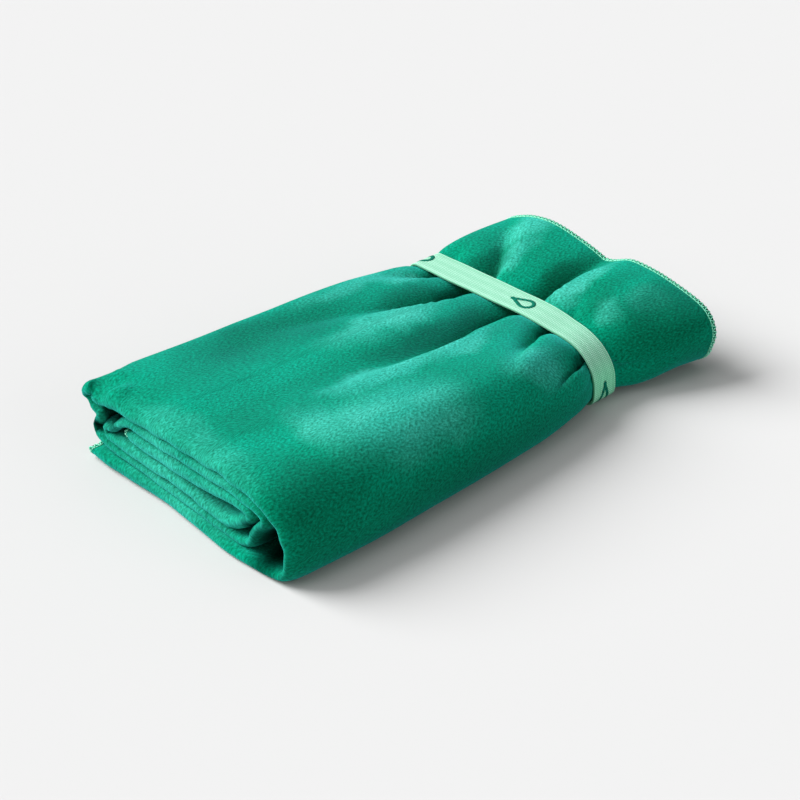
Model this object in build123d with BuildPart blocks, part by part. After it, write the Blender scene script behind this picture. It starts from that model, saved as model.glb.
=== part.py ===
"""Quick-dry towel folded into a flat pack and held by a loop of woven elastic.

Frame: origin at the middle of the pack's underside, +Z up, +Y along the pack towards the
hemmed end, +X towards the rounded long side that the outer wrap goes around.  The towel is
folded across once, so its bight is at -Y and both hems are at +Y, and then rolled up flat.
"""
import os
from math import acos, cos, sin

from build123d import *

os.makedirs("parts", exist_ok=True)

# ---------------------------------------------------------------- driving dimensions (mm)
pack_width = 162.0          # X, across the panels
pack_length = 316.0         # Y, about half of the towel's cut width
pack_height = 46.0          # Z, a stack of plush cloth with air between its layers
pack_skew = 4.0             # the far end lies this far to +X and the near end to -X
layer_count = 12            # cloth layers in the stack
far_height = 48.0           # the hemmed end is a little puffier

foot_radius = 7.0           # lower corners of the pack
nose_radius = 22.0          # upper corner at +X, where the outer wrap goes around
fold_radius = 6.0           # upper corner at -X, where the panels turn back

band_width = 21.0           # woven elastic
band_centre = 83.5          # Y of the elastic along the pack
band_clearance = 0.3        # between the cloth and the elastic
weave_thickness = 0.45      # each woven face of the elastic
strand_size = 0.5           # square rubber strand
strand_count = 10
selvedge_width = 1.6        # woven edge that closes the elastic beside the strands

waist_length = 25.0         # straight stretch of the pack under the elastic
waist_low = (-83.0, 3.8)    # x and z of the pack where the elastic draws it in
waist_high = (67.5, 38.5)
waist_foot_radius = 5.0
waist_nose_radius = 28.0
waist_fold_radius = 5.0
taper_length = 100.0        # from the waist to full size, towards the bights
flare_length = 34.0         # the same, towards the hems
taper_steps = 5

bight_parting = 1.02        # neighbouring bights part a little before they touch
slit_depth = 4.0            # between the cut edges at the far end
slit_height = 1.2
slit_margin_fold = 8.0      # cloth left whole beside the slits
slit_margin_nose = 14.0

thread_thickness = 0.4      # overlock threads lying on the cloth
stitch_bite = 3.0           # from the cut edge to the needle line
needle_line_width = 0.6
hem_bead = 0.8              # looper thread that wraps the cut edge
hem_depth = 2.4             # how far it reaches down the cut end
hem_lowest = 2.0            # no thread lies between the pack and what it rests on
side_edge_depth = 1.0       # the towel's side edge, tucked along the -X long side
side_edge_height = 2.4
side_edge_z = 9.5

lap_length = 14.0           # the elastic's two ends lie over each other, under the pack
lap_centre = -20.0
tack_rows = 4
tack_stitches = 8
tack_row_pitch = 3.2
tack_pitch = 2.4
tack_size = (1.8, 0.6, 0.35)

mark_places = (-75.0, 3.0)  # x of the drop marks on the upper and lower runs
mark_side_z = 13.0          # height of the one on the rounded side
mark_length = 15.0
mark_radius = 5.5
mark_line = 1.9
mark_thickness = 0.15

# ---------------------------------------------------------------- derived places
near_y = -pack_length / 2
far_y = pack_length / 2
cloth_end = far_y - hem_bead
bight_count = layer_count // 2
bight_height = pack_height / bight_count
bight_radius = bight_height / 2
waist_near = band_centre - waist_length / 2
waist_far = band_centre + waist_length / 2
taper_start = waist_near - taper_length
flare_end = waist_far + flare_length
band_near = band_centre - band_width / 2

near_low = (-pack_width / 2 - pack_skew, 0.0)
near_high = (pack_width / 2 - pack_skew, pack_height)
far_low = (-pack_width / 2 + pack_skew, 0.0)
far_high = (pack_width / 2 + pack_skew, far_height)
full_radii = (foot_radius, foot_radius, nose_radius, fold_radius)
waist_radii = (waist_foot_radius, waist_foot_radius, waist_nose_radius, waist_fold_radius)

strand_inner = band_clearance + weave_thickness
strand_outer = strand_inner + strand_size
band_outer = strand_outer + weave_thickness
band_thickness = band_outer - band_clearance
lap_top = waist_low[1] - band_outer
strand_span = band_width - 2 * selvedge_width - strand_size


# ---------------------------------------------------------------- sections of the pack
def outline(y, low, high, radii, grow=0.0):
    """Cross-section at y: a box from low to high in x and z, with its four corners rounded.

    radii are those of the foot at -X, the foot at +X, the nose and the upper fold.
    """
    left, bottom = low[0] - grow, low[1] - grow
    right, top = high[0] + grow, high[1] + grow
    corners = [(left, bottom), (right, bottom), (right, top), (left, top)]
    with BuildSketch(Plane.XZ.offset(-y)) as section:
        with BuildLine():
            FilletPolyline(*corners, radius=[r + grow for r in radii], close=True)
        make_face()
    return section.sketch


def waist_outline(y, grow=0.0):
    return outline(y, waist_low, waist_high, waist_radii, grow)


def far_outline(y, grow=0.0):
    return outline(y, far_low, far_high, full_radii, grow)


def swell(y, share, full_low, full_high):
    """Section that is share of the way from the waist to the full size, easing in and out."""
    eased = share * share * (3 - 2 * share)

    def between(waist, full):
        return [w + (f - w) * eased for w, f in zip(waist, full)]

    return outline(y, between(waist_low, full_low), between(waist_high, full_high),
                   between(waist_radii, full_radii))


def sleeve(section, y, width, inner, outer):
    """Closed loop, width long from y towards +Y, between two offsets of a section."""
    with BuildPart() as loop:
        extrude(section(y, outer), amount=-width)
        extrude(section(y, inner), amount=-width, mode=Mode.SUBTRACT)
    return loop.part


# ---------------------------------------------------------------- towel, one sheet of cloth
shares = [step / taper_steps for step in range(1, taper_steps + 1)]

with BuildPart() as towel_cloth:
    extrude(outline(near_y, near_low, near_high, full_radii), amount=-(taper_start - near_y))
    taper = [waist_outline(waist_near)]
    taper += [swell(waist_near - taper_length * s, s, near_low, near_high) for s in shares]
    loft(taper, ruled=True)
    extrude(waist_outline(waist_near), amount=-waist_length)
    flare = [waist_outline(waist_far)]
    flare += [swell(waist_far + flare_length * s, s, far_low, far_high) for s in shares]
    loft(flare, ruled=True)
    extrude(far_outline(flare_end), amount=-(cloth_end - flare_end))

    # bights: the doubled cloth turns back in a stack of rounded strips
    with BuildSketch(Plane.YZ) as bight_gaps:
        with Locations((near_y + bight_radius / 2, pack_height / 2)):
            Rectangle(bight_radius, pack_height)
        with Locations((near_y + bight_radius, pack_height / 2)):
            with GridLocations(0, bight_height, 1, bight_count):
                Circle(bight_radius * bight_parting, mode=Mode.SUBTRACT)
    extrude(bight_gaps.sketch, amount=pack_width, both=True, mode=Mode.SUBTRACT)

    # slits: the hemmed edges of the layers lie one over another
    slit_low = far_low[0] + slit_margin_fold
    slit_high = far_high[0] - slit_margin_nose
    with BuildSketch(Plane.XZ.offset(-cloth_end)) as slits:
        with Locations(((slit_low + slit_high) / 2, far_height / 2)):
            with GridLocations(0, far_height / layer_count, 1, layer_count - 1):
                Rectangle(slit_high - slit_low, slit_height)
    extrude(slits.sketch, amount=slit_depth, mode=Mode.SUBTRACT)

    # groove: the overlocked side edge of the towel lies in it
    with BuildSketch(Plane.YZ.offset(near_low[0])) as side_groove:
        with Locations(((near_y + taper_start) / 2, side_edge_z)):
            Rectangle(taper_start - near_y, side_edge_height)
    extrude(side_groove.sketch, amount=side_edge_depth, mode=Mode.SUBTRACT)
towel_cloth.part.label = "towel_cloth"
export_step(towel_cloth.part, "parts/towel_cloth.step")


# ---------------------------------------------------------------- overlock threads of the hem
def trim_hem():
    """Cut away what would lie under the pack, and the side where the roll is open."""
    with Locations((0, far_y, hem_lowest - pack_height / 2)):
        Box(2 * pack_width, pack_length, pack_height, mode=Mode.SUBTRACT)
    with Locations((far_low[0], far_y, foot_radius)):
        Box(2 * fold_radius, pack_length, 2 * foot_radius, mode=Mode.SUBTRACT)


with BuildPart() as hem_needle_thread:
    needle_y = cloth_end - stitch_bite - needle_line_width
    add(sleeve(far_outline, needle_y, needle_line_width, 0, thread_thickness))
    trim_hem()
hem_needle_thread.part.label = "hem_needle_thread"
export_step(hem_needle_thread.part, "parts/hem_needle_thread.step")

with BuildPart() as hem_upper_looper_thread:
    add(sleeve(far_outline, cloth_end - stitch_bite, stitch_bite, 0, thread_thickness))
    trim_hem()
hem_upper_looper_thread.part.label = "hem_upper_looper_thread"
export_step(hem_upper_looper_thread.part, "parts/hem_upper_looper_thread.step")

with BuildPart() as hem_lower_looper_thread:
    add(sleeve(far_outline, cloth_end, hem_bead, -hem_depth, 0))
    trim_hem()
    side_edge_y = (near_y + bight_radius + taper_start) / 2
    with Locations((near_low[0] + side_edge_depth / 2, side_edge_y, side_edge_z)):
        Box(side_edge_depth, taper_start - near_y - bight_radius, side_edge_height)
hem_lower_looper_thread.part.label = "hem_lower_looper_thread"
export_step(hem_lower_looper_thread.part, "parts/hem_lower_looper_thread.step")

# ---------------------------------------------------------------- loop of woven elastic
with BuildPart() as band_rubber_strands:
    for number in range(strand_count):
        strand_y = band_near + selvedge_width + strand_span * number / (strand_count - 1)
        add(sleeve(waist_outline, strand_y, strand_size, strand_inner, strand_outer))
band_rubber_strands.part.label = "band_rubber_strands"
export_step(band_rubber_strands.part, "parts/band_rubber_strands.step")

with BuildPart() as band_inner_weave:
    add(sleeve(waist_outline, band_near, band_width, band_clearance, strand_inner))
band_inner_weave.part.label = "band_inner_weave"
export_step(band_inner_weave.part, "parts/band_inner_weave.step")

with BuildPart() as band_outer_weave:
    add(sleeve(waist_outline, band_near, band_width, strand_inner, band_outer))
    add(band_rubber_strands.part, mode=Mode.SUBTRACT)
    with Locations((lap_centre, band_centre, lap_top - band_thickness / 2)):
        Box(lap_length, band_width, band_thickness)
band_outer_weave.part.label = "band_outer_weave"
export_step(band_outer_weave.part, "parts/band_outer_weave.step")

with BuildPart() as band_seam_stitches:
    with Locations((lap_centre, band_centre, lap_top - band_thickness - tack_size[2] / 2)):
        with GridLocations(tack_row_pitch, tack_pitch, tack_rows, tack_stitches):
            Box(*tack_size)
band_seam_stitches.part.label = "band_seam_stitches"
export_step(band_seam_stitches.part, "parts/band_seam_stitches.step")


def drop_mark():
    """Plain drop drawn as a line: a round end and a point, lying along +X about its middle."""
    tip = mark_length - mark_radius
    tangent = acos(mark_radius / tip)
    touch_x = mark_radius * cos(tangent)
    touch_y = mark_radius * sin(tangent)
    with BuildSketch() as drop:
        with Locations((mark_radius - mark_length / 2, 0)):
            with BuildLine():
                Line((touch_x, touch_y), (tip, 0))
                Line((tip, 0), (touch_x, -touch_y))
                ThreePointArc((touch_x, -touch_y), (-mark_radius, 0), (touch_x, touch_y))
            make_face()
            offset(amount=-mark_line, mode=Mode.SUBTRACT)
    return drop.sketch


with BuildPart() as band_marks:
    with BuildSketch(Plane.XY) as flat_marks:
        with Locations(*[(place, band_centre) for place in mark_places]):
            add(drop_mark())
    extrude(flat_marks.sketch, amount=pack_height)
    with BuildSketch(Plane.YZ) as side_mark:
        with Locations(Location((band_centre, mark_side_z), -90)):
            add(drop_mark())
    extrude(side_mark.sketch, amount=pack_width)
    add(sleeve(waist_outline, band_near, band_width, band_outer, band_outer + mark_thickness),
        mode=Mode.INTERSECT)
band_marks.part.label = "band_marks"
export_step(band_marks.part, "parts/band_marks.step")
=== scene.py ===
"""Folded quick-dry towel held by a loop of woven elastic.

The towel is one sheet: folded across once, rolled flat, then drawn in by the elastic.  The
sheet is laid out as a roll in a plain block, and the block is then bent as a whole.  Its
layers still cross each other in places, most of all near the elastic.  Lengths here are in
millimetres until a mesh is made.
"""

from math import acos, cos, pi, radians, sin, tau

import bpy
import numpy as np
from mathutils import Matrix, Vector


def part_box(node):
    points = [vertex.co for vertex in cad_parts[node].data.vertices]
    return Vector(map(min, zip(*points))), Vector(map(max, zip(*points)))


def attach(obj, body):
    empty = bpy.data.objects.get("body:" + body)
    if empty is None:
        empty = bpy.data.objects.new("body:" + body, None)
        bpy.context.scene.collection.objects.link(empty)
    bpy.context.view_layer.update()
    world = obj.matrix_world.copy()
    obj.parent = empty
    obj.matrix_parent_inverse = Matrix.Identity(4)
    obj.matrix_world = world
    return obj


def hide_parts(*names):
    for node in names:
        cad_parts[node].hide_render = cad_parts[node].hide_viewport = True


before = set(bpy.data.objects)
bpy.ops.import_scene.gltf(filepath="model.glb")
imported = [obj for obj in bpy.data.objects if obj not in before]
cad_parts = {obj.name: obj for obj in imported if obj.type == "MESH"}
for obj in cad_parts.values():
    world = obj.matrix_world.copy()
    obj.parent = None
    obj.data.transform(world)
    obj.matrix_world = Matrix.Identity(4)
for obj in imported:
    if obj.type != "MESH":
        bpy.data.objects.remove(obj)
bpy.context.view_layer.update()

MM = 0.001

# ---------------------------------------- cloth
CLOTH_THICK = 2.1           # plush microfibre
HEM_THICK = 1.5             # pressed flat by the overlock
HEM_WIDE = 5.0              # the cloth is thinner this near to its edge
NEAR_Y, FAR_Y = -158.0, 158.0
PLY_GAP = 1.9               # from the middle of a doubled panel to each of its two plies
BIGHT_GAP = 2.8             # the same where the ply turns back
BIGHT_DEEP = 3.6
BIGHT_TURN = 10             # faces around the turn
BLOCK_HALF = 81.0           # half the width of the plain block that the roll fills
BLOCK_LOW, BLOCK_HIGH = 1.05, 45.55

# the roll's course, seen from the bights: x and z of the middle of the doubled cloth, and the
# share of the plies' full gap that is left there
ROLL = [
    # the lowest panel, from the free edge to the nose
    (-78, 5.6, 0.9), (-66, 5.2, 1.1), (-40, 5, 1.2), (-10, 4.7, 1.1), (15, 4.1, 0.85),
    (35, 3.4, 0.66), (52, 3.1, 0.6), (65, 3.2, 0.6), (73.6, 4.4, 0.6),
    # round the nose
    (77.2, 8.6, 0.62), (78, 15, 0.62), (76.8, 22.6, 0.64), (72.8, 30.2, 0.66),
    (66, 36.4, 0.7), (56, 40.6, 0.78),
    # over the top
    (40, 42.2, 0.84), (10, 42.9, 0.86), (-25, 43.1, 0.86), (-55, 43.2, 0.84),
    (-70, 42.9, 0.78), (-78, 41.2, 0.64),
    # down the folded side, crumpled
    (-81.6, 37, 0.58), (-78.4, 32.6, 0.56), (-72.8, 29.2, 0.56), (-71.8, 26, 0.56),
    (-75.8, 22.2, 0.56), (-75.6, 18.6, 0.56), (-69.4, 15.4, 0.58), (-60, 12.9, 0.62),
    # the second wrap's lower panel
    (-40, 12.1, 0.62), (-10, 11.2, 0.6), (10, 9.8, 0.58), (26, 8.3, 0.6),
    (38, 7.9, 0.6), (46, 9, 0.62),
    # up, short of the nose, so that a hollow is left there
    (50.6, 13, 0.7), (52.6, 18.4, 0.85), (55.6, 23, 0.7), (60, 27.4, 0.6),
    (60.5, 31, 0.58), (55, 33.8, 0.6),
    # the second wrap's upper panel, and down its folded side
    (44, 34.8, 0.74), (20, 35.5, 0.9), (-10, 35.8, 0.96), (-34, 35.8, 0.86),
    (-46, 34.8, 0.66), (-54, 31, 0.56), (-61, 26.8, 0.56), (-66, 23.2, 0.56),
    (-64.6, 19.8, 0.58),
    # the innermost wrap, out and back
    (-54, 18.9, 0.74), (-25, 18.9, 0.9), (2, 17.9, 0.86), (16, 15.6, 0.8),
    (28, 14.6, 0.8), (35, 15.4, 0.9), (41, 18.4, 1), (46.5, 22.6, 0.8),
    (50.5, 26.3, 0.6), (48, 29.3, 0.58), (38, 29.7, 0.72), (24, 28.2, 1.05),
    (0, 27.4, 1.15), (-25, 27.3, 1.15), (-38, 27, 0.9), (-52, 25.6, 0.58),
]
COURSE_STEP = 0.5           # between points where the course is measured
OUTER_WRAP = 360.0          # this much of the course shows, and has the finer mesh
OUTER_ROW, INNER_ROW = 2.2, 7.0     # between rows of the mesh there and further in
FINEST_ROW = 1.2            # between rows where the course turns
ROW_TURN = 0.24             # radians that the course may turn from one row to the next
WAVES = 5                   # plain waves in a wobble


def smooth(t):
    """Eased step: 0 up to 0, 1 from 1."""
    t = np.clip(t, 0.0, 1.0)
    return t * t * (3 - 2 * t)


def curve_through(points, step):
    """Catmull-Rom curve through the points, sampled about every step."""
    points = np.array(points, float)
    before, after = 2 * points[0] - points[1], 2 * points[-1] - points[-2]
    row = np.vstack([before, points, after])
    pieces = []
    for a, b, c, d in zip(row, row[1:], row[2:], row[3:]):
        count = max(2, int(np.linalg.norm(c - b) / step))
        t = np.arange(count)[:, None] / count
        pieces.append(0.5 * (2 * b + (c - a) * t + (2 * a - 5 * b + 4 * c - d) * t ** 2
                             + (3 * b - a - 3 * c + d) * t ** 3))
    pieces.append(points[-1:])
    return np.vstack(pieces)


def along(y, knots):
    """Values at y on smooth lines through the knots, each a place followed by its values."""
    knots = np.array(knots, float)
    span = knots[-1, 0] - knots[0, 0]
    fine = curve_through(knots / span, 0.002)
    order = np.maximum.accumulate(fine[:, 0])
    return [np.interp(y / span, order, fine[:, k]) * span for k in range(1, knots.shape[1])]


def lengths(points):
    """Distance along a line of points, at each of them."""
    steps = np.linalg.norm(np.diff(points, axis=0), axis=1)
    return np.concatenate([[0.0], np.cumsum(steps)])


def respaced(points, spacing):
    """Same curve, with the distance between its points given by spacing at each point."""
    share = lengths(points)
    density = 1.0 / spacing
    steps = np.concatenate([[0.0], np.cumsum((density[1:] + density[:-1]) / 2 * np.diff(share))])
    count = int(round(steps[-1])) + 1
    at = np.interp(np.linspace(0, steps[-1], count), steps, share)
    return np.stack([np.interp(at, share, points[:, k]) for k in range(points.shape[1])], 1), at


def roll_course():
    """The roll's centre line, finer where it turns and where it is the outer wrap."""
    fine = curve_through(ROLL, COURSE_STEP)
    run = np.gradient(fine, axis=0)[:, :2]
    heading = np.unwrap(np.arctan2(run[:, 1], run[:, 0]))
    bend = np.abs(np.gradient(heading, lengths(fine)))
    bend = np.convolve(bend, np.ones(15) / 15, "same")
    spacing = np.where(lengths(fine) < OUTER_WRAP, OUTER_ROW, INNER_ROW)
    turning = np.maximum(FINEST_ROW, ROW_TURN / np.maximum(bend, 1e-6))
    spacing = np.minimum(spacing, turning)
    return respaced(fine, spacing)


def wobble(x, y, z, seed, size):
    """Smooth wandering between about -1 and 1 that changes over about size."""
    rng = np.random.default_rng(seed)
    total = np.zeros(np.broadcast(x, y, z).shape)
    for _ in range(WAVES):
        way = rng.normal(size=3)
        way *= tau / (size * rng.uniform(0.8, 1.6) * np.linalg.norm(way))
        total = total + np.sin(way[0] * x + way[1] * y + way[2] * z + rng.uniform(0, tau))
    return total / WAVES * 1.4


# ---------------------------------------- elastic's loop, from the CAD
inner_low, inner_high = (np.array(corner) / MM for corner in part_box("band_inner_weave"))
WEAVE = 0.45                # each woven face
STRAND_LAYER = 0.5          # between the faces
BAND_GAP = 0.3              # between the cloth and the elastic
BAND_THICK = 2 * WEAVE + STRAND_LAYER
BAND_Y = (inner_low[1] + inner_high[1]) / 2
BAND_WIDE = inner_high[1] - inner_low[1]
BAND_NEAR, BAND_FAR = BAND_Y - BAND_WIDE / 2, BAND_Y + BAND_WIDE / 2
FOOT_RADIUS, NOSE_RADIUS, FOLD_RADIUS = 5.0, 28.0, 5.0
BELOW_MIDDLE = 4.0          # this far below the loop's middle, its corners are the feet
NOSE_DIP = 3.0              # the elastic cuts this far into the shoulder before the nose
SHOULDER_X, SHOULDER_WIDE = 45.0, 19.0      # where that is
FOOT_DROP = 1.3             # and it is this much lower under the nose than at its lap
FOLD_IN = 3.0               # it is drawn this much further in on its other side
loop_low = inner_low + BAND_GAP + WEAVE + np.array([FOLD_IN, 0, 0])
loop_high = inner_high - BAND_GAP - WEAVE
LAP_X = -20.0               # middle of the lap, under the pack
LAP_LONG = 14.0


def pulled(x, z):
    """How far the elastic's loop lies below the plain outline."""
    shoulder = NOSE_DIP * np.exp(-((x - SHOULDER_X) / SHOULDER_WIDE) ** 2)
    shoulder = shoulder * smooth((z - 15.0) / 15.0)
    foot = FOOT_DROP * smooth((x - 5.0) / 50.0) * (1 - smooth((z - 2.0) / 16.0))
    return shoulder + foot


def loop_depth(x, z):
    """Distance outside the elastic's loop, negative inside, and the way out."""
    z = z + pulled(x, z)
    middle_x, middle_z = (loop_low[0] + loop_high[0]) / 2, (loop_low[2] + loop_high[2]) / 2
    half_x, half_z = (loop_high[0] - loop_low[0]) / 2, (loop_high[2] - loop_low[2]) / 2
    dx, dz = x - middle_x, z - middle_z
    radius = np.where(dz < -BELOW_MIDDLE, FOOT_RADIUS, np.where(dx > 0, NOSE_RADIUS, FOLD_RADIUS))
    past_x, past_z = np.abs(dx) - half_x + radius, np.abs(dz) - half_z + radius
    out_x, out_z = np.maximum(past_x, 0), np.maximum(past_z, 0)
    far = np.hypot(out_x, out_z)
    depth = far + np.minimum(np.maximum(past_x, past_z), 0) - radius
    corner = far > 1e-9
    way_x = np.where(corner, out_x / np.maximum(far, 1e-9), (past_x >= past_z).astype(float))
    way_z = np.where(corner, out_z / np.maximum(far, 1e-9), (past_x < past_z).astype(float))
    return depth, way_x * np.sign(dx), way_z * np.sign(dz)


# ---------------------------------------- bending the block
# y, then the pack's left side, right side, underside and top there
SECTIONS = [
    (-158, -87.6, 79.2, 0.7, 43.8), (-150, -87.6, 81.6, 0.2, 46.2),
    (-136, -87.2, 83.2, 0, 47.8), (-103, -86.2, 84.4, 0, 48),
    (-67, -85.6, 83.4, 0, 48.4), (-30, -85, 82.4, 0, 48.6),
    (11, -83.8, 79.8, 0, 47.6), (33, -82.8, 77.8, 0.4, 45.8),
    (57, -82.4, 74.6, 2.2, 43.2), (72, -82.2, 71.4, 3, 41.2),
    (95, -82, 71.8, 3, 41.2), (107, -81.2, 77.4, 1.6, 43.8),
    (122, -80, 83.8, 0.6, 46.4), (140, -78.2, 89.4, 0.3, 48.2),
    (158, -76.6, 93.2, 0.3, 49),
]

# pleats on top: along y, the x of each crest, how far the cloth falls on its -X side, how wide
# that fall is, and how wide the steep bank up to the crest is
PLEATS = [
    [(-95, 17, 0, 24, 12), (-68, 17.5, 1.5, 22, 11), (-45, 17, 3.2, 19, 10), (-20, 18, 5.4, 17, 8),
     (0, 18, 8.4, 15, 7), (20, 17, 12, 13, 6), (40, 14, 17, 11, 5), (66, 12, 26, 10.5, 4.5),
     (80, 11.5, 26, 10.5, 4.5), (92, 11, 24, 11, 5), (110, 11, 17, 11, 7),
     (130, 14, 10, 11, 12), (148, 22, 6, 12, 19), (162, 29, 4.2, 13, 26)],
    [(-60, -43, 0, 18, 20), (-35, -40, 1.8, 16, 18), (-5, -34, 4.4, 14, 15),
     (15, -30, 7, 13, 13), (35, -27, 12, 11, 9.5), (50, -24.5, 19, 10, 7),
     (66, -25, 25, 9.5, 4.5), (80, -27, 25, 9.5, 4.5), (92, -27, 20, 10, 6), (110, -32, 12, 10, 10),
     (130, -41, 6.6, 11, 15), (150, -52, 2.6, 10, 18), (162, -58, 1, 10, 19)],
    [(0, 68, 0, 8, 5), (15, 63, 1.4, 8, 5), (28, 55, 3, 8, 5), (40, 48, 4.8, 8, 5),
     (55, 42, 11, 5.5, 4.5), (66, 38, 15, 5.5, 4), (80, 38, 15, 5.5, 4), (92, 40, 7, 7, 8),
     (108, 38, 3.4, 8, 12), (130, 36, 0, 10, 14)],
    [(20, 80, 0, 8, 5), (36, 75, 5, 8, 5), (50, 70, 13, 5.5, 4), (66, 66, 19, 5, 3.5),
     (80, 64, 17, 5, 3.5), (94, 72, 9, 8, 5), (110, 80, 5, 9, 6), (132, 84, 0, 10, 6)],
    [(30, -66, 0, 7, 9), (50, -60, 3, 7, 9), (66, -55, 6.2, 7, 8), (80, -54, 6.2, 7, 8),
     (94, -57, 4.4, 8, 8), (110, -64, 0, 8, 8)],
]

# swells: x, y, half widths along x and y, and height
SWELLS = [
    (58, -50, 26, 52, 3), (-15, -8, 12, 34, 1.6), (-58, -62, 17, 50, -2.2),
    (-41, 162, 25, 36, 5.2), (34, 160, 18, 40, 2.2), (72, 164, 18, 34, -3.6),
    (56, 26, 11, 18, 2.2), (34, -98, 26, 15, 1.4), (-30, -128, 40, 18, 0.8),
    (4, -40, 10, 40, -0.9), (66, 128, 16, 14, -2), (24, 128, 9, 30, 1),
]

PLEAT_FADE = 1.4            # how fast the pleats fade towards the underside
FLARE_Y, FLARE_LONG = 95.0, 50.0    # where the pack opens out again behind the elastic
TUCK = 10.0                 # how far its lower edge lies in there, on the nose's side
NEAR_REACH = 16.0           # how far in from the bights the near end's waves reach
CRUMPLE_X, CRUMPLE_WIDE = -44.0, 22.0   # the corner beyond this x is crumpled

# waves of the block, each its height, seed and size: across, up, and small ones up
SWAY_ACROSS, SWAY_UP, RIPPLE = (0.9, 3, 120.0), (0.6, 5, 95.0), (0.26, 7, 34.0)
# waves of the bights: the same, and the share of z that they follow
BIGHT_WAVES = [(0.9, 13, 42.0, 0.3), (0.5, 17, 14.0, 0.5), (0.14, 41, 8.0, 1.5)]
CRUMPLES_ACROSS = [(3.4, 19, 18.0), (2.5, 47, 8.5)]
CRUMPLES_UP = [(2.8, 37, 16.0), (2.4, 53, 8.5)]

PRESS_SOFT = 1.2            # over this depth the elastic's press sets in
PRESS_RISE, RISE_POWER = 0.85, 0.85     # how steeply the cloth rises beside it
CLOTH_PLAY = 0.15           # between the pressed cloth and the elastic, besides BAND_GAP
FLOOR_PLAY, FLOOR_SOFT = 0.05, 0.25     # the same two for the floor


def waves(x, y, z, kinds):
    """Sum of wobbles, each its height, seed and size."""
    return sum(height * wobble(x, y, z, seed, size) for height, seed, size in kinds)


def gathered(x, y):
    """How far the top lies below its plain height, for the pleats and swells."""
    total = np.zeros(np.broadcast(x, y).shape)
    for line in PLEATS:
        crest, fall, wide, bank = along(np.clip(y, line[0][0], line[-1][0]), line)
        beside = crest - x
        valley = np.exp(-np.maximum(beside - bank, 0) / wide) * smooth(beside / bank)
        total = total + fall * valley
    for middle_x, middle_y, half_x, half_y, height in SWELLS:
        total = total - height * np.exp(-((x - middle_x) / half_x) ** 2
                                        - ((y - middle_y) / half_y) ** 2)
    return total


def bend_block(x, y, z):
    """Bend the plain roll into the pack's shape."""
    left, right, low, high = along(y, SECTIONS)
    across = (x + BLOCK_HALF) / (2 * BLOCK_HALF)
    up = (z - BLOCK_LOW) / (BLOCK_HIGH - BLOCK_LOW)
    share = np.clip(up, 0, 1)
    far = smooth((y - FLARE_Y) / FLARE_LONG)
    near = np.exp(-((y - NEAR_Y) / NEAR_REACH) ** 2)
    tuck = TUCK * far * (1 - share) ** 2 * smooth((across - 0.72) / 0.28)
    bent_x = left + across * (right - left) - tuck
    bent_z = low + up * (high - low) + 0.3 * tuck
    bent_z = bent_z - gathered(bent_x, y) * share ** PLEAT_FADE
    drift = 1 - 0.5 * near
    bent_x = bent_x + drift * waves(x, y, z, [SWAY_ACROSS])
    bent_z = bent_z + share * (drift * waves(x, y, z, [SWAY_UP]) + waves(x, y, z, [RIPPLE]))
    for height, seed, size, follow in BIGHT_WAVES:
        bent_z = bent_z + near * share * height * wobble(x, 0.0, z * follow, seed, size)
    crumple = near * smooth((CRUMPLE_X - x) / CRUMPLE_WIDE)
    bent_x = bent_x + crumple * waves(x, y, z, CRUMPLES_ACROSS)
    bent_z = bent_z + crumple * share * waves(x, y, z, CRUMPLES_UP)
    return bent_x, y, bent_z


def under_elastic(x, y, z):
    """Press what would stand outside the elastic's loop back under it, in the same order."""
    depth, way_x, way_z = loop_depth(x, z)
    beside = np.maximum(np.abs(y - BAND_Y) - BAND_WIDE / 2 - 0.3, 0)
    limit = BAND_GAP - CLOTH_PLAY - CLOTH_THICK / 2 + PRESS_RISE * beside ** RISE_POWER
    over = depth - limit
    pressed = limit - PRESS_SOFT * np.logaddexp(0, -over / PRESS_SOFT)
    change = np.where(over > -6 * PRESS_SOFT, pressed - depth, 0.0)
    change = np.minimum(change, 0.0)
    return x + change * way_x, z + change * way_z


def on_floor(z):
    """Press the lowest ply flat on the floor, keeping the order of those above it."""
    rest = CLOTH_THICK / 2 + FLOOR_PLAY
    return rest + FLOOR_SOFT * np.logaddexp(0, (z - rest) / FLOOR_SOFT)


# ---------------------------------------- laying the sheet out
BIGHT_REACH = 11.0          # how far in the bight's wider gap reaches
LOW_PLY = 6.2               # below this height the course is its lowest panel
LEAST_GAP = 0.56            # share of the full gap that the plies always keep
INNER_END_IN = 3.4          # the roll's inner end lies back from the other bights
# where the columns' stretches begin, from hem to bight, and how many columns each has
COLUMN_STOPS = [FAR_Y, FAR_Y - 6, BAND_FAR + 12, BAND_NEAR - 16, NEAR_Y + 24,
                NEAR_Y + BIGHT_DEEP]
COLUMN_COUNTS = [4, 14, 28, 31, 7]
# where the lowest panel's bight stands out: x, half width and how far
LOW_TIPS = [(36, 34, 3.2), (-62, 20, 2.4)]
BLUR = 13                   # rows over which the bights' unevenness is evened out


def ply_offset(y):
    """From the middle of the doubled cloth to each ply, which is more near the bight."""
    return PLY_GAP + (BIGHT_GAP - PLY_GAP) * np.exp(-((y - NEAR_Y - BIGHT_DEEP)
                                                      / BIGHT_REACH) ** 2)


def bight_line(course):
    """How far in from the plain end each row's bight lies, as hands leave it."""
    x, z = course[:, 0], course[:, 1]
    uneven = 1.3 * wobble(x, 0.0, z * 6, 11, 60.0) + 1.0
    tips = sum(-out * np.exp(-((x - middle) / half) ** 2) for middle, half, out in LOW_TIPS)
    line = np.where(z < LOW_PLY, tips, uneven)
    line = np.convolve(np.pad(line, BLUR // 2, "edge"), np.ones(BLUR) / BLUR, "valid")
    along_roll = lengths(course)
    return line + INNER_END_IN * smooth((along_roll - along_roll[-1] + 10.0) / 8.0)


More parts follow.
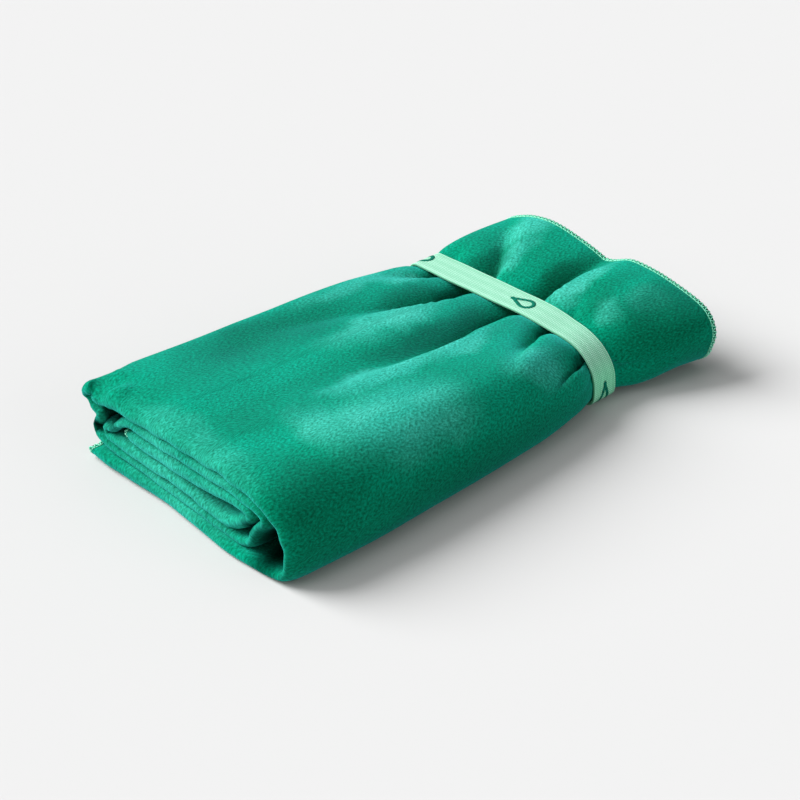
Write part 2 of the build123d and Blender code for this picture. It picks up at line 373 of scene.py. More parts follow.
def lay_plies(course):
    """Grid of the sheet's middle surface: rows run along the roll, columns from hem to hem."""
    x, z, gap = course.T
    run = unit(np.gradient(course[:, :2], axis=0))
    out = np.stack([run[:, 1], -run[:, 0]], 1)
    flat = np.zeros(len(course))
    stretches = zip(COLUMN_STOPS, COLUMN_STOPS[1:], COLUMN_COUNTS)
    places = [np.linspace(*stretch, endpoint=False) for stretch in stretches]
    places = np.concatenate(places + [COLUMN_STOPS[-1:]])
    gap = np.maximum(gap * (1 + 0.05 * wobble(x, 0.0, z * 5, 23, 30.0)), LEAST_GAP)
    side = [(y + flat, ply_offset(y) * gap) for y in places]
    turn = []
    for k in range(1, BIGHT_TURN):
        angle = pi / 2 - pi * k / BIGHT_TURN
        turn.append((NEAR_Y + BIGHT_DEEP * (1 - cos(angle)) + flat, BIGHT_GAP * sin(angle) * gap))
    columns = side + turn + [(y, -shift) for y, shift in side[::-1]]
    y = np.stack([column[0] for column in columns], 1)
    shift = np.stack([column[1] for column in columns], 1)
    small = 0.6 * wobble(x, 0.0, z * 3, 43, 17.0)
    y = y + bight_line(course)[:, None] * (1 - smooth((y - NEAR_Y) / 60.0))
    y = y + small[:, None] * (1 - smooth((y - NEAR_Y) / 12.0))
    half = y.shape[1] // 2
    for cut, seed in ((slice(0, half), 29), (slice(half, None), 31)):
        hem = 1.2 * wobble(x, 0.0, z * 6, seed, 90.0) - 0.6
        y[:, cut] += hem[:, None] * smooth((y[:, cut] - 110.0) / 48.0)
    return x[:, None] + out[:, 0:1] * shift, y, z[:, None] + out[:, 1:2] * shift


# ---------------------------------------- mesh building
def unit(vectors):
    """The same directions, each of length 1."""
    return vectors / np.maximum(np.linalg.norm(vectors, axis=-1, keepdims=True), 1e-9)


def grid_normals(points):
    """Unit normals of a grid of points."""
    return unit(np.cross(np.gradient(points, axis=0), np.gradient(points, axis=1)))


def grid_faces(rows, cols, start=0, flip=False, wrap=False):
    """Quads of a grid; wrap joins its last column to its first."""
    i = np.arange(rows - 1)[:, None]
    j = np.arange(cols if wrap else cols - 1)[None, :]
    k = (j + 1) % cols
    quads = np.stack(np.broadcast_arrays(i * cols + j, (i + 1) * cols + j,
                                         (i + 1) * cols + k, i * cols + k), -1) + start
    quads = quads.reshape(-1, 4)
    return (quads[:, ::-1] if flip else quads).tolist()


def new_object(name, material, verts, faces, uvs=None):
    """Mesh object in metres from points in millimetres."""
    mesh = bpy.data.meshes.new(name)
    mesh.from_pydata((np.asarray(verts) * MM).tolist(), [], faces)
    mesh.polygons.foreach_set("use_smooth", [True] * len(mesh.polygons))
    if uvs is not None:
        layer = mesh.uv_layers.new(name="cloth")
        index = np.empty(len(mesh.loops), int)
        mesh.loops.foreach_get("vertex_index", index)
        layer.data.foreach_set("uv", np.asarray(uvs, float)[index].ravel())
    mesh.materials.append(material)
    mesh.validate()
    obj = bpy.data.objects.new(name, mesh)
    bpy.context.scene.collection.objects.link(obj)
    return obj


def joined(parts):
    """One list of points, faces and flat places from several."""
    verts, faces, uvs, start = [], [], [], 0
    for part_verts, part_faces, part_uvs in parts:
        verts.append(part_verts)
        uvs.append(part_uvs)
        faces += [[corner + start for corner in face] for face in part_faces]
        start += len(part_verts)
    return np.vstack(verts), faces, np.vstack(uvs)


def swept(rings):
    """Closed skin over a row of rings, with a flat face at each end."""
    rows, cols = rings.shape[:2]
    faces = grid_faces(rows, cols, wrap=True)
    faces.append(list(range(cols)))
    faces.append(list(range(rows * cols - 1, (rows - 1) * cols - 1, -1)))
    return rings.reshape(-1, 3), faces


def thread(path, radius, beside, sides=5):
    """Round thread along a path; beside is a direction that the path never takes."""
    run = unit(np.gradient(path, axis=0))
    side = unit(np.cross(run, beside))
    rise = np.cross(side, run)
    turn = np.linspace(0, tau, sides, endpoint=False)
    rings = path[:, None] + radius * (np.cos(turn)[None, :, None] * side[:, None]
                                      + np.sin(turn)[None, :, None] * rise[:, None])
    verts, faces = swept(rings)
    far = np.repeat(lengths(path), sides) * MM
    around = np.tile(turn / tau, len(path))
    return verts, faces, np.stack([far, around], 1)


# ---------------------------------------- towel
def border(rows, cols):
    """Indices around a grid, once."""
    ring = list(range(cols))
    ring += [i * cols + cols - 1 for i in range(1, rows)]
    ring += [(rows - 1) * cols + j for j in range(cols - 2, -1, -1)]
    ring += [i * cols for i in range(rows - 2, 0, -1)]
    return ring


RIM_OUT = 0.45              # how far the cut edge is rounded outwards


def make_towel(material):
    """The sheet with its thickness, and the grids that the seams follow."""
    course, at = roll_course()
    x, y, z = bend_block(*lay_plies(course))
    x, z = under_elastic(x, y, z)
    middle = np.stack([x, y, on_floor(z)], 2)
    rows, cols = middle.shape[:2]
    normal = grid_normals(middle)
    steps = np.linalg.norm(np.diff(middle, axis=1), axis=2)
    along_u = np.concatenate([np.zeros((rows, 1)), np.cumsum(steps, axis=1)], 1)
    along_t = np.repeat(at[:, None], cols, axis=1)
    to_edge = np.minimum.reduce([along_u, along_u[:, -1:] - along_u, along_t, at[-1] - along_t])
    half = (HEM_THICK + (CLOTH_THICK - HEM_THICK) * smooth(to_edge / HEM_WIDE)) / 2
    above = middle + normal * half[:, :, None]
    below = middle - normal * half[:, :, None]
    ring = border(rows, cols)
    outward = np.zeros_like(middle)
    outward[:, 0] = middle[:, 0] - middle[:, 1]
    outward[:, -1] = middle[:, -1] - middle[:, -2]
    outward[0, :] = middle[0, :] - middle[1, :]
    outward[-1, :] = middle[-1, :] - middle[-2, :]
    rim = (middle + RIM_OUT * unit(outward)).reshape(-1, 3)[ring]
    verts = np.vstack([above.reshape(-1, 3), below.reshape(-1, 3), rim])
    count = rows * cols
    faces = grid_faces(rows, cols, 0, True) + grid_faces(rows, cols, count)
    for k in range(len(ring)):
        a, b = ring[k], ring[(k + 1) % len(ring)]
        rim_a, rim_b = 2 * count + k, 2 * count + (k + 1) % len(ring)
        faces.append((a, b, rim_b, rim_a))
        faces.append((b + count, a + count, rim_a, rim_b))
    flat = np.stack([along_t, along_u], 2).reshape(-1, 2) * MM
    towel = new_object("towel_sheet", material, verts, faces, np.vstack([flat, flat, flat[ring]]))
    return towel, middle, normal, half


# ---------------------------------------- overlock seam
STITCH = 3.06               # pitch along the edge
BITE = 2.7                  # from the edge to the needle line
NEEDLE_RADIUS, LOOPER_RADIUS = 0.26, 0.36
THREAD_PLAY = 0.05          # between a thread and what it lies on


def edge_lines(middle, normal, half):
    """The sheet's four edges: place, way inwards, way up and half thickness along each."""
    def edge(points, inner, ups, halves):
        return points, unit(inner - points), ups, halves

    return [
        edge(middle[:, 0], middle[:, 2], normal[:, 1], half[:, 0]),
        edge(middle[:, -1], middle[:, -3], normal[:, -2], half[:, -1]),
        edge(middle[0, 1:-1], middle[1, 1:-1], normal[1, 1:-1], half[0, 1:-1]),
        edge(middle[-1, 1:-1], middle[-2, 1:-1], normal[-2, 1:-1], half[-1, 1:-1]),
    ]


# one stitch of each thread: share of the pitch, share of the bite inwards from the edge,
# and height in half thicknesses
NEEDLE_STITCH = [(0.0, 1.0, 1.0), (0.12, 1.0, 1.35), (0.5, 1.0, 1.45), (0.88, 1.0, 1.35)]
UPPER_STITCH = [(0.0, 1.06, 1.4), (0.2, 0.62, 1.45), (0.40, 0.10, 1.35), (0.5, -0.16, 0.5),
                (0.60, 0.10, 1.35), (0.8, 0.62, 1.45)]
LOWER_STITCH = [(0.0, -0.16, -0.5), (0.12, 0.10, -1.35), (0.3, 0.62, -1.45), (0.5, 1.06, -1.4),
                (0.7, 0.62, -1.45), (0.88, 0.10, -1.35)]


def seam_thread(name, stitch, radius, edges, material):
    """One thread of the overlock seam, around all four edges of the towel."""
    parts = []
    for points, inward, ups, halves in edges:
        share = lengths(points)
        count = int(share[-1] / STITCH)
        pitch = share[-1] / count
        steps = [((k + t) * pitch, e, h) for k in range(count) for t, e, h in stitch]
        at, deep, high = np.array(steps).T

        def follow(values):
            return np.stack([np.interp(at, share, values[:, k]) for k in range(3)], 1)

        lift = (high * np.interp(at, share, halves) + np.sign(high) * THREAD_PLAY)[:, None]
        way_up = unit(follow(ups))
        path = follow(points) + unit(follow(inward)) * (deep * BITE)[:, None] + way_up * lift
        path[:, 2] = np.maximum(path[:, 2], radius + THREAD_PLAY)
        parts.append(thread(path, radius, way_up + 0.001))
    return new_object(name, material, *joined(parts))


# ---------------------------------------- elastic
BAND_STEP = 1.1             # between rings along the elastic
STRANDS = 10
STRAND_RADIUS = 0.24
SELVEDGE = 1.7              # woven edge beside the strands, with a bead and a groove
BEAD_HIGH, GROOVE_DEEP = 0.12, 0.20
RIB_PITCH, RIB_HIGH, BACK_RIB_HIGH = 1.9, 0.07, 0.03
EDGE_WAVE = 0.22            # how far the elastic's edges wander
PIECE_PLAY = 0.02           # between the elastic's own pieces
MARK_PITCH = 84.5
MARK_TOP_X = 2.8            # place of the mark on the top
MARK_LONG, MARK_RADIUS, MARK_LINE = 18.5, 5.6, 2.4
MARK_COUNT = 3              # a fourth would lie under the lap
TACK_ROWS, TACK_PITCH, TACK_TURNS = 4, 3.2, 8
TACK_SPAN, TACK_SWING, TACK_RADIUS = 0.84, 0.85, 0.2    # span is a share of the width


def loop_outline():
    """Waist outline from the lap, towards the fold, over the top: points and ways out."""
    left, low = loop_low[0], loop_low[2]
    right, high = loop_high[0], loop_high[2]
    corners = [
        (left + FOOT_RADIUS, low + FOOT_RADIUS, FOOT_RADIUS, -pi / 2, -pi),
        (left + FOLD_RADIUS, high - FOLD_RADIUS, FOLD_RADIUS, pi, pi / 2),
        (right - NOSE_RADIUS, high - NOSE_RADIUS, NOSE_RADIUS, pi / 2, 0.0),
        (right - FOOT_RADIUS, low + FOOT_RADIUS, FOOT_RADIUS, 0.0, -pi / 2),
    ]
    points, ways = [(LAP_X, low)], [(0.0, -1.0)]
    for centre_x, centre_z, radius, first, last in corners:
        for angle in np.linspace(first, last, 25):
            ways.append((cos(angle), sin(angle)))
            points.append((centre_x + radius * cos(angle), centre_z + radius * sin(angle)))
    points.append((LAP_X, low))
    ways.append((0.0, -1.0))
    return np.array(points), np.array(ways)


outline_points, outline_ways = loop_outline()
outline_share = lengths(outline_points)
LOOP_LONG = outline_share[-1]
on_top = outline_ways[:, 1] > 0.99
TOP_START = outline_share[on_top][0]
TOP_START_X = outline_points[on_top][0][0]
MARK_TOP = TOP_START + MARK_TOP_X - TOP_START_X
NOSE_START = TOP_START + loop_high[0] - NOSE_RADIUS - TOP_START_X
NOSE_END = NOSE_START + NOSE_RADIUS * pi / 2

# the elastic is a little narrower where it is pulled round the nose: place along the loop,
# its near edge and its far edge
BAND_EDGES = [
    (0.0, BAND_NEAR, BAND_FAR), (TOP_START, BAND_NEAR, BAND_FAR + 0.8),
    (TOP_START + 40, BAND_NEAR - 0.6, BAND_FAR + 0.4),
    (NOSE_START - 20, BAND_NEAR - 0.6, BAND_FAR - 0.4), (NOSE_START, BAND_NEAR, BAND_FAR - 2.0),
    ((NOSE_START + NOSE_END) / 2, BAND_NEAR + 0.3, BAND_FAR - 3.4),
    (NOSE_END, BAND_NEAR + 0.2, BAND_FAR - 2.6), (NOSE_END + 40, BAND_NEAR, BAND_FAR - 0.4),
    (LOOP_LONG, BAND_NEAR, BAND_FAR), (LOOP_LONG + LAP_LONG, BAND_NEAR, BAND_FAR),
]


def on_band(place, across, height):
    """Points on the elastic: place along it, share across it from -0.5 to 0.5, and height."""
    place, across, height = np.broadcast_arrays(place, across, height)
    wrapped = np.mod(place, LOOP_LONG)
    lift = (BAND_THICK + 0.1) * smooth((place - LOOP_LONG + LAP_LONG / 2 + 8) / 8)
    flat = [np.interp(wrapped, outline_share, outline_points[:, k]) for k in range(2)]
    way = unit(np.stack([np.interp(wrapped, outline_share, outline_ways[:, k])
                         for k in range(2)], -1))
    near, far = along(place, BAND_EDGES)
    near = near + EDGE_WAVE * wobble(place, 0.0, 0.0, 41, 26.0)
    far = far + EDGE_WAVE * wobble(place, 0.0, 0.0, 43, 26.0)
    y = (near + far) / 2 + across * (far - near)
    out = height + lift
    x, z = flat[0] + way[..., 0] * out, flat[1] + way[..., 1] * out
    return np.stack([x, y, z - pulled(x, z)], -1)


def band_rows(step):
    """Places along the elastic from one end to the other, over the lap."""
    count = int((LOOP_LONG + LAP_LONG) / step)
    return np.linspace(-LAP_LONG / 2, LOOP_LONG + LAP_LONG / 2, count)


def band_piece(name, section, material):
    """Closed piece of the elastic: section is across and height around it."""
    places = band_rows(BAND_STEP)
    across, height = np.array(section).T
    rings = on_band(places[:, None], across[None, :], height[None, :])
    verts, faces = swept(rings)
    flat = np.stack(np.broadcast_arrays(places[:, None], across[None, :] * BAND_WIDE), -1)
    return new_object(name, material, verts, faces, flat.reshape(-1, 2) * MM)


def face_section():
    """Outer weave: fine ribs between two selvedges, and room for the strands beneath."""
    outer = BAND_GAP + BAND_THICK
    strand_low = BAND_GAP + WEAVE + PIECE_PLAY
    section = []
    for across in np.linspace(-0.485, 0.485, 58):
        from_edge = (0.5 - abs(across)) * BAND_WIDE
        height = outer + BEAD_HIGH * np.exp(-((from_edge - 0.8) / 0.6) ** 2)
        height -= GROOVE_DEEP * np.exp(-((from_edge - SELVEDGE) / 0.28) ** 2)
        if from_edge > SELVEDGE:
            height += RIB_HIGH * cos(tau * across * BAND_WIDE / RIB_PITCH)
        section.append((across, height))
    inner_edge = 0.5 - SELVEDGE / BAND_WIDE
    edge = [(0.497, outer - 0.12), (0.5, outer - 0.4), (0.497, strand_low + 0.1),
            (0.485, strand_low), (inner_edge, strand_low),
            (inner_edge - 0.005, strand_low + STRAND_LAYER)]
    return section + edge + [(-across, height) for across, height in edge[::-1]]


def back_section():
    """Inner weave: flat towards the strands and finely ribbed towards the cloth."""
    low, high = BAND_GAP + PIECE_PLAY, BAND_GAP + WEAVE
    across = np.linspace(-0.48, 0.48, 25)
    ribs = BACK_RIB_HIGH * np.cos(tau * across * BAND_WIDE / RIB_PITCH)
    section = [(a, high) for a in across]
    section += [(0.488, (low + high) / 2)]
    section += [(a, low + BACK_RIB_HIGH + rib) for a, rib in zip(across[::-1], ribs)]
    section += [(-0.488, (low + high) / 2)]
    return section


def make_strands(material):
    """Rubber strands, side by side between the two weaves."""
    places = band_rows(2.0)
    room = 1 - 2 * (SELVEDGE + STRAND_RADIUS + 0.1) / BAND_WIDE
    parts = []
    for number in range(STRANDS):
        across = (number / (STRANDS - 1) - 0.5) * room
        path = on_band(places, across, BAND_GAP + WEAVE + STRAND_LAYER / 2 + 0.01)
        parts.append(thread(path, STRAND_RADIUS, np.array([0.0, 1.0, 0.0]), 6))
    return new_object("elastic_rubber_strands", material, *joined(parts)[:2])


def drop_line(count):
    """Plain drop about its middle: a round end and a point, as points and ways out."""
    tip = MARK_LONG - MARK_RADIUS
    tangent = acos(MARK_RADIUS / tip)
    centre = MARK_RADIUS - MARK_LONG / 2
    angles = np.linspace(tangent, tau - tangent, count)
    round_end = np.stack([centre + MARK_RADIUS * np.cos(angles), MARK_RADIUS * np.sin(angles)], 1)
    point = np.array([[centre + tip, 0.0]])
    shares = np.linspace(0, 1, 14)[1:-1, None]
    line = np.vstack([round_end, round_end[-1] + (point - round_end[-1]) * shares, point,
                      point + (round_end[0] - point) * shares])
    run = np.roll(line, -1, axis=0) - np.roll(line, 1, axis=0)
    return line, unit(np.stack([run[:, 1], -run[:, 0]], 1))


def make_marks(material):
    """Drop marks woven into the elastic's face, at an even pitch on both sides of the top one."""
    line, way = drop_line(60)
    base = BAND_GAP + BAND_THICK
    # share of the line's width inwards, and height
    section = [(0.0, 0.06), (0.06, 0.2), (0.5, 0.26), (0.94, 0.2), (1.0, 0.06), (0.5, 0.0)]
    parts = []
    for number in range(-1, MARK_COUNT - 1):
        place = MARK_TOP + number * MARK_PITCH
        rings = []
        for inset, height in section:
            spot = line - way * inset * MARK_LINE
            rings.append(on_band(place - spot[:, 0], -spot[:, 1] / BAND_WIDE, base + height))
        rings = np.stack(rings, 1)
        rings = np.concatenate([rings, rings[:1]], 0)
        rows, cols = rings.shape[:2]
        faces = [[c if c < (rows - 1) * cols else c - (rows - 1) * cols for c in face]
                 for face in grid_faces(rows, cols, wrap=True)]
        flat = np.repeat(np.arange(rows)[:-1, None] * 0.5, cols, 1)
        flat = np.stack([flat, np.tile(np.arange(cols), (rows - 1, 1))], -1) * MM
        parts.append((rings[:-1].reshape(-1, 3), faces, flat.reshape(-1, 2)))
    return new_object("elastic_drop_marks", material, *joined(parts))


def make_tacks(material):
    """Rows of zigzag stitches through the elastic's lap."""
    parts = []
    for row in range(TACK_ROWS):
        place = LOOP_LONG + (row - (TACK_ROWS - 1) / 2) * TACK_PITCH
        turns = np.arange(4 * TACK_TURNS + 1)
        across = (turns / turns[-1] - 0.5) * TACK_SPAN
        swing = TACK_SWING * np.where(turns % 4 == 1, 1, np.where(turns % 4 == 3, -1, 0))
        height = BAND_GAP + BAND_THICK + np.where(turns % 2 == 1, 0.0, TACK_RADIUS)
        path = on_band(place + swing, across, height)
        parts.append(thread(path, TACK_RADIUS, np.array([0.0, 0.0, 1.0])))
    return new_object("elastic_seam_thread", material, *joined(parts))


# ---------------------------------------- materials
def linear(level):
    """Linear light of one channel of a screen colour, from 0 to 255."""
    level /= 255
    return level / 12.92 if level <= 0.04045 else ((level + 0.055) / 1.055) ** 2.4


def colour(r, g, b):
    """Colour given as it looks on a screen, from 0 to 255."""
    return linear(r), linear(g), linear(b), 1.0


class Look:
    """A material and short ways to add nodes to it."""

    def __init__(self, name, roughness):
        self.material = bpy.data.materials.new(name)
        self.material.use_nodes = True
        self.tree = self.material.node_tree
        self.shader = self.tree.nodes["Principled BSDF"]
        self.set(Roughness=roughness)

    def set(self, **values):
        """Set the shader's own sockets, named with _ for each space."""
        for name, value in values.items():
            self.shader.inputs[name.replace("_", " ")].default_value = value

    def node(self, kind, values=(), links=(), **settings):
        """Add a node: its settings, its inputs' values and what is linked to them."""
        node = self.tree.nodes.new(kind)
        for name, value in settings.items():
            setattr(node, name, value)
        for name, value in dict(values).items():
            node.inputs[name].default_value = value
        for name, socket in dict(links).items():
            self.tree.links.new(socket, node.inputs[name])
        return node

    def stretched(self, place, scale, turn=0.0):
        """The same place, stretched and turned about Z."""
        return self.node("ShaderNodeMapping", {"Scale": scale, "Rotation": (0, 0, turn)},
                         {"Vector": place}).outputs["Vector"]

    def noise(self, place, scale, detail=2.0, roughness=0.5):
        return self.node("ShaderNodeTexNoise", {"Scale": scale, "Detail": detail,
                                                "Roughness": roughness},
                         {"Vector": place}).outputs["Fac"]

    def stripes(self, place, scale, distortion, direction):
        return self.node("ShaderNodeTexWave", {"Scale": scale, "Distortion": distortion,
                                               "Detail": 1.0}, {"Vector": place},
                         wave_type="BANDS", bands_direction=direction).outputs["Fac"]

    def ramp(self, socket, *stops):
        """Colours at places along a value."""
        node = self.node("ShaderNodeValToRGB", links={"Fac": socket})
        elements = node.color_ramp.elements
        while len(elements) < len(stops):
            elements.new(0.5)
        for element, (place, tone) in zip(elements, stops):
            element.position = place
            element.color = tone
        return node.outputs["Color"]

    def math(self, operation, first, second):
        node = self.node("ShaderNodeMath", operation=operation)
        for socket, value in zip(node.inputs, (first, second)):
            if isinstance(value, (int, float)):
                socket.default_value = value
            else:
                self.tree.links.new(value, socket)
        return node.outputs["Value"]

    def mixed(self, share, first, second):
        """Share of the way from the first colour to the second."""
        return self.node("ShaderNodeMix", links={"Factor": share, "A": first, "B": second},
                         data_type="RGBA").outputs["Result"]

    def dyed(self, first, second):
        """One colour times another."""
        return self.node("ShaderNodeMix", {"Factor": 1.0}, {"A": first, "B": second},
                         data_type="RGBA", blend_type="MULTIPLY").outputs["Result"]

    def patch(self, place, middle, half):
        """1 at the middle of a soft oval and 0 outside it; middle and half in millimetres."""
        scale = tuple(1 / (h * MM) for h in half)
        moved = tuple(-m / h for m, h in zip(middle, half))
        mapped = self.node("ShaderNodeMapping", {"Scale": scale, "Location": moved},
                           {"Vector": place}).outputs["Vector"]
        node = self.node("ShaderNodeTexGradient", links={"Vector": mapped},
                         gradient_type="SPHERICAL")
        eased = self.node("ShaderNodeMapRange", {"From Max": 0.7}, {"Value": node.outputs["Fac"]},
                          interpolation_type="SMOOTHSTEP")
        return eased.outputs["Result"]

    def strongest(self, place, ovals):
        """The strongest of several patches, each its middle, its half widths and its share."""
        total = None
        for middle, half, share in ovals:
            patch = self.math("MULTIPLY", self.patch(place, middle, half), share)
            total = patch if total is None else self.math("MAXIMUM", total, patch)
        return total

    def patches(self, place, ovals, level, deep):
        """The same for ovals that lie on the top: x, y, the half widths there and the share."""
        return self.strongest(place, [((x, y, level), (half_x, half_y, deep), share)
                                      for x, y, half_x, half_y, share in ovals])

    def wandering(self, place, scale, reach):
        """The same place, moved about by up to half of reach."""
        noise = self.node("ShaderNodeTexNoise", {"Scale": scale, "Detail": 3.0},
                          {"Vector": place})
        centred = self.node("ShaderNodeVectorMath", {1: (0.5, 0.5, 0.5)},
                            {0: noise.outputs["Color"]}, operation="SUBTRACT")
        moved = self.node("ShaderNodeVectorMath", {1: (reach, reach, reach)},
                          {0: centred.outputs["Vector"], 2: place}, operation="MULTIPLY_ADD")
        return moved.outputs["Vector"]

    def feed(self, name, socket):
        """Link a socket to one of the shader's own."""
        self.tree.links.new(socket, self.shader.inputs[name])

    def bumps(self, *layers):
        """Bump layers, each a height, its strength and its depth in metres."""
        below = None
        for height, strength, distance in layers:
            links = {"Height": height}
            if below is not None:
                links["Normal"] = below
            below = self.node("ShaderNodeBump", {"Strength": strength, "Distance": distance},
                              links).outputs["Normal"]
        self.feed("Normal", below)

    def place(self, kind="Object"):
        """Coordinates to look a pattern up by."""
        return self.node("ShaderNodeTexCoord").outputs[kind]


# painted highlights and painted shade on top, as lighter and darker patches of nap: x, y, the
# half widths along them, and how much
PAINTED_HIGHLIGHTS = [(17, -40, 12, 54, 1.0), (21, 16, 13, 42, 0.9), (52, -62, 38, 56, 0.9),
           (34, -98, 26, 22, 0.6), (58, 34, 20, 30, 0.8), (-26, 0, 17, 56, 0.75),
           (-52, 148, 18, 32, 0.7), (-38, 118, 14, 30, 0.7), (16, 122, 10, 44, 0.8),
           (46, 110, 14, 18, 0.5), (56, 134, 16, 14, 0.4), (-72, 22, 12, 56, 0.6),
           (-62, 52, 10, 24, 0.7), (0, -154, 70, 18, 0.32)]
# painted shade: darker patches on top, in the valleys and beside the elastic
PAINTED_SHADE = [(-58, -58, 36, 80, 0.9), (-2, 14, 14, 66, 0.8), (-43, 38, 15, 42, 0.8),
          (1, 120, 15, 52, 1.0), (-48, 110, 15, 32, 0.8), (74, 134, 40, 60, 0.7),
          (33, 118, 14, 46, 0.6), (70, -130, 30, 44, 0.6), (-24, -110, 30, 30, 0.3)]
# middle and half size of the ovals of painted light on the bights' face, and of painted shade on
# the nose's side
PAINTED_BIGHT_LIGHT = ((-15, -158, 22), (92, 18, 30))
# painted shade: the towel's side at the nose darker
PAINTED_NOSE_SHADE = ((92, 0, 12), (28, 440, 36))
# the same for painted light on the elastic's face, a fresher green by the nose
PAINTED_ELASTIC_LIGHT = ((86, 83, 16), (28, 40, 36))
# the same, and how much, for painted shade in the hollows between the wraps and beside the elastic
PAINTED_HOLLOW_SHADE = [((60, -142, 11), (17, 40, 23), 1.0), ((-67, -147, 30), (10, 24, 9), 1.0),
           ((-80, -152, 22), (7, 16, 7), 1.0), ((47, -146, 20), (9, 22, 9), 1.0),
           ((4, 66, 28), (10, 34, 20), 0.7), ((-37, 66, 28), (14, 26, 20), 0.7),
           ((6, 96, 28), (8, 18, 18), 0.6), ((-36, 94, 28), (9, 12, 18), 0.6),
           ((31, 72, 31), (8, 12, 14), 0.7), ((60, 72, 27), (7, 13, 14), 0.7),
           ((-61, 72, 34), (9, 12, 12), 0.5)]


def towel_look():
    """Brushed microfibre: short nap in lighter and darker patches that are painted highlights and
    painted shade, and its fine grain.
    """
    look = Look("brushed_microfibre", 0.62)
    look.set(Specular_IOR_Level=0.0, Sheen_Roughness=0.5, Sheen_Tint=(0.08, 0.66, 0.72, 1.0))
    place = look.place()
    flat = look.place("UV")
    strokes = look.noise(look.stretched(place, (1.0, 0.45, 1.0), 0.5), 34.0, 3.0)
    grain = look.noise(look.stretched(flat, (1.0, 0.6, 1.0), 0.6), 950.0, roughness=0.6)
    pile = look.noise(place, 2000.0, roughness=0.6)
    about = look.wandering(place, 30.0, 0.030)
    # painted highlights on top, and painted light on the bights' face
    painted_highlight = look.math("MAXIMUM", look.patches(about, PAINTED_HIGHLIGHTS, 46, 36),
                       look.math("MULTIPLY", look.patch(about, *PAINTED_BIGHT_LIGHT), 0.4))
    # painted shade on top, and on the nose's side
    turned = look.math("MAXIMUM", look.patches(about, PAINTED_SHADE, 38, 50),
                       look.math("MULTIPLY", look.patch(place, *PAINTED_NOSE_SHADE), 0.85))
    tone = look.ramp(strokes, (0.30, colour(0, 114, 81)), (0.5, colour(0, 127, 94)),
                     (0.72, colour(0, 139, 107)))
    # lighter colours for the painted highlights
    light = look.ramp(strokes, (0.30, colour(28, 143, 120)), (0.72, colour(72, 178, 158)))
    cloth = look.mixed(painted_highlight, tone, light)
    # darker colours for the painted shade
    deep = look.ramp(strokes, (0.30, colour(0, 80, 51)), (0.72, colour(0, 98, 65)))
    cloth = look.mixed(turned, cloth, deep)
    # painted shade in the hollows, near black, with less sheen there
    hollow = look.strongest(place, PAINTED_HOLLOW_SHADE)
    unlit = look.ramp(strokes, (0.30, colour(0, 16, 10)), (0.72, colour(0, 30, 20)))
    cloth = look.mixed(hollow, cloth, unlit)
    sheen = look.math("SUBTRACT", 0.5, look.math("MULTIPLY", hollow, 0.5))
    look.feed("Sheen Weight", sheen)
    fleck = look.ramp(grain, (0.30, (0.42, 0.50, 0.44, 1)), (0.5, (1.0, 1.0, 1.0, 1)),
                      (0.70, (1.72, 1.56, 1.74, 1)))
    look.feed("Base Color", look.dyed(cloth, fleck))
    look.bumps((strokes, 0.30, 0.0007), (grain, 0.7, 0.0005), (pile, 0.4, 0.0002))
    return look.material


def weave_look(name, light, shade):
    """Plain weave: picks across the elastic and fine ends along it, with painted light by the nose.
    """
    look = Look(name, 0.75)
    look.set(Specular_IOR_Level=0.25, Sheen_Weight=0.25, Sheen_Roughness=0.5,
             Sheen_Tint=(0.75, 1.0, 0.9, 1.0))
    flat = look.place("UV")
    picks = look.stripes(flat, 300.0, 0.6, "X")
    ends = look.stripes(flat, 210.0, 0.6, "Y")
    weave = look.math("MULTIPLY", picks, ends)
    slub = look.noise(look.stretched(flat, (0.3, 1.0, 1.0)), 420.0)
    fine = look.ramp(weave, (0.05, shade), (0.55, light))
    # painted light: a fresher green on the elastic's side by the nose
    painted_light_tone = look.ramp(weave, (0.05, colour(84, 208, 150)), (0.55, colour(138, 250, 198)))
    fine = look.mixed(look.patch(look.place(), *PAINTED_ELASTIC_LIGHT), fine, painted_light_tone)
    uneven = look.ramp(slub, (0.3, (0.93, 0.95, 0.94, 1)), (0.7, (1.0, 1.0, 1.0, 1)))
    look.feed("Base Color", look.dyed(fine, uneven))
    look.bumps((weave, 0.6, 0.00018), (slub, 0.2, 0.0002))
    return look.material


def thread_look(name, light, shade, roughness=0.55, lustre=0.4):
    """Twisted thread: slanting plies with a soft lustre."""
    look = Look(name, roughness)
    look.set(Specular_IOR_Level=lustre, Sheen_Weight=0.5 * lustre, Sheen_Roughness=0.4)
    unrolled = look.stretched(look.place("UV"), (1.0, 0.0009, 1.0))
    plies = look.stripes(unrolled, 380.0, 0.4, "DIAGONAL")
    fuzz = look.noise(look.place(), 2600.0)
    look.feed("Base Color", look.ramp(plies, (0.1, shade), (0.6, light)))
    look.bumps((plies, 0.5, 0.0001), (fuzz, 0.3, 0.00008))
    return look.material


def rubber_look():
    """Bare rubber with its powdery surface."""
    look = Look("natural_rubber", 0.6)
    dust = look.noise(look.place(), 900.0, 4.0, 0.6)
    tone = look.ramp(dust, (0.35, colour(178, 164, 132)), (0.65, colour(214, 204, 178)))
    look.feed("Base Color", tone)
    look.bumps((dust, 0.3, 0.0001))
    return look.material


def floor_look():
    """Plain pale floor."""
    look = Look("pale_floor", 0.95)
    look.set(Base_Color=(0.58, 0.58, 0.58, 1.0), Specular_IOR_Level=0.0)
    return look.material


# ---------------------------------------- making it
towel, middle, normal, half = make_towel(towel_look())
edges = edge_lines(middle, normal, half)
hem_look = thread_look("overlock_thread", colour(142, 236, 202), colour(60, 184, 146))
needle = seam_thread("overlock_needle_thread", NEEDLE_STITCH, NEEDLE_RADIUS, edges, hem_look)
upper = seam_thread("overlock_upper_looper", UPPER_STITCH, LOOPER_RADIUS, edges, hem_look)
lower = seam_thread("overlock_lower_looper", LOWER_STITCH, LOOPER_RADIUS, edges, hem_look)

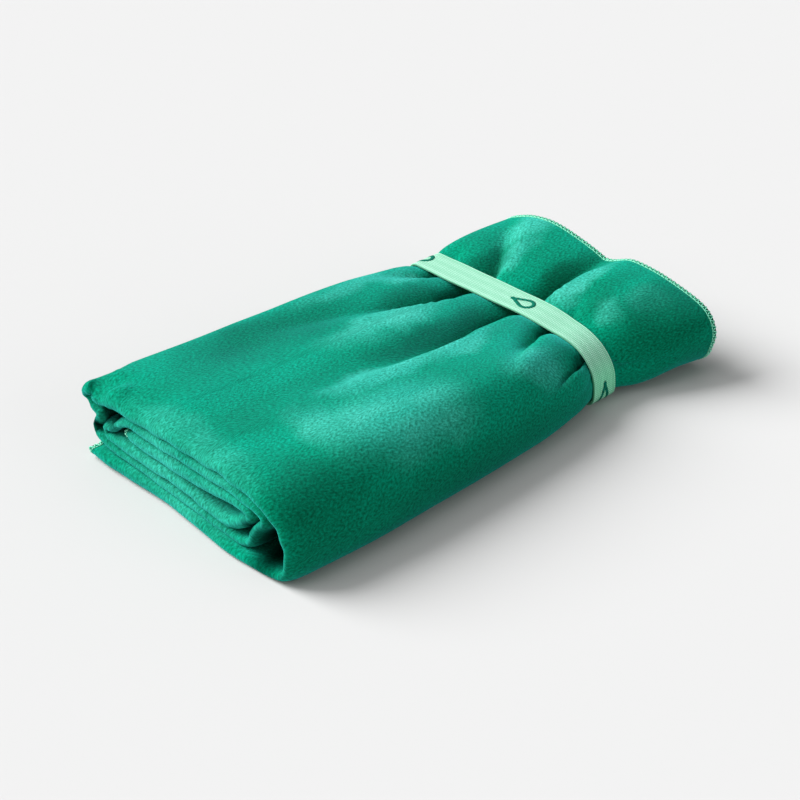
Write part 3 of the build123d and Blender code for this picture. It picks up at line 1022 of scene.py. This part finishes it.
face = band_piece("elastic_outer_weave", face_section(),
                  weave_look("elastic_face", colour(178, 230, 208), colour(112, 184, 150)))
back = band_piece("elastic_inner_weave", back_section(),
                  weave_look("elastic_back", colour(160, 226, 198), colour(130, 204, 172)))
strands = make_strands(rubber_look())
marks = make_marks(thread_look("mark_yarn", colour(4, 116, 94), colour(2, 88, 68), 0.8, 0.05))
tacks = make_tacks(thread_look("seam_thread", colour(170, 232, 206), colour(120, 200, 170)))

for piece, body, node, slot in (
    (towel, "towel", "towel_cloth", "towel_cloth"),
    (needle, "towel", "hem_needle_thread", "hem_thread"),
    (upper, "towel", "hem_upper_looper_thread", "hem_thread"),
    (lower, "towel", "hem_lower_looper_thread", "hem_thread"),
    (face, "band", "band_outer_weave", "elastic_weave"),
    (back, "band", "band_inner_weave", "elastic_weave"),
    (strands, "band", "band_rubber_strands", "rubber_strand"),
    (marks, "band", "band_marks", "mark_yarn"),
    (tacks, "band", "band_seam_stitches", "seam_thread"),
):
    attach(piece, body)
    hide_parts(node)

# ---------------------------------------- floor, light and camera
FLOOR_WIDE = 12.0
bpy.ops.mesh.primitive_plane_add(size=FLOOR_WIDE, location=(0, 0, 0))
floor = bpy.context.object
floor.name = "floor"
floor.data.materials.append(floor_look())

world = bpy.data.worlds.new("studio")
bpy.context.scene.world = world
world.use_nodes = True
background = world.node_tree.nodes["Background"]
background.inputs["Color"].default_value = (1, 1, 1, 1)
background.inputs["Strength"].default_value = 0.29


def sun(name, way, energy, angle):
    """Sunlight from a way, its disc this many degrees wide."""
    data = bpy.data.lights.new(name, "SUN")
    data.energy = energy
    data.angle = radians(angle)
    light = bpy.data.objects.new(name, data)
    light.rotation_euler = Vector(way).to_track_quat("Z", "Y").to_euler()
    bpy.context.scene.collection.objects.link(light)


sun("key", (-1.0, -0.48, 0.78), 5.4, 38)
sun("front_fill", (-0.50, -1.0, 1.10), 0.95, 50)
sun("side_fill", (1.0, 0.25, 0.2), 0.8, 50)

LENS, SENSOR_WIDE = 72.3105, 36.0       # millimetres
CAMERA_AT = Vector((0.5579, -0.5391, 0.4690))
CAMERA_AIM = Vector((0.01055, -0.0215, 0.020))
camera_data = bpy.data.cameras.new("camera")
camera_data.sensor_width = SENSOR_WIDE
camera_data.lens = LENS
camera = bpy.data.objects.new("camera", camera_data)
camera.location = CAMERA_AT
camera.rotation_euler = (CAMERA_AT - CAMERA_AIM).to_track_quat("Z", "Y").to_euler()
bpy.context.scene.collection.objects.link(camera)
bpy.context.scene.camera = camera
bpy.context.scene.view_settings.view_transform = "Standard"
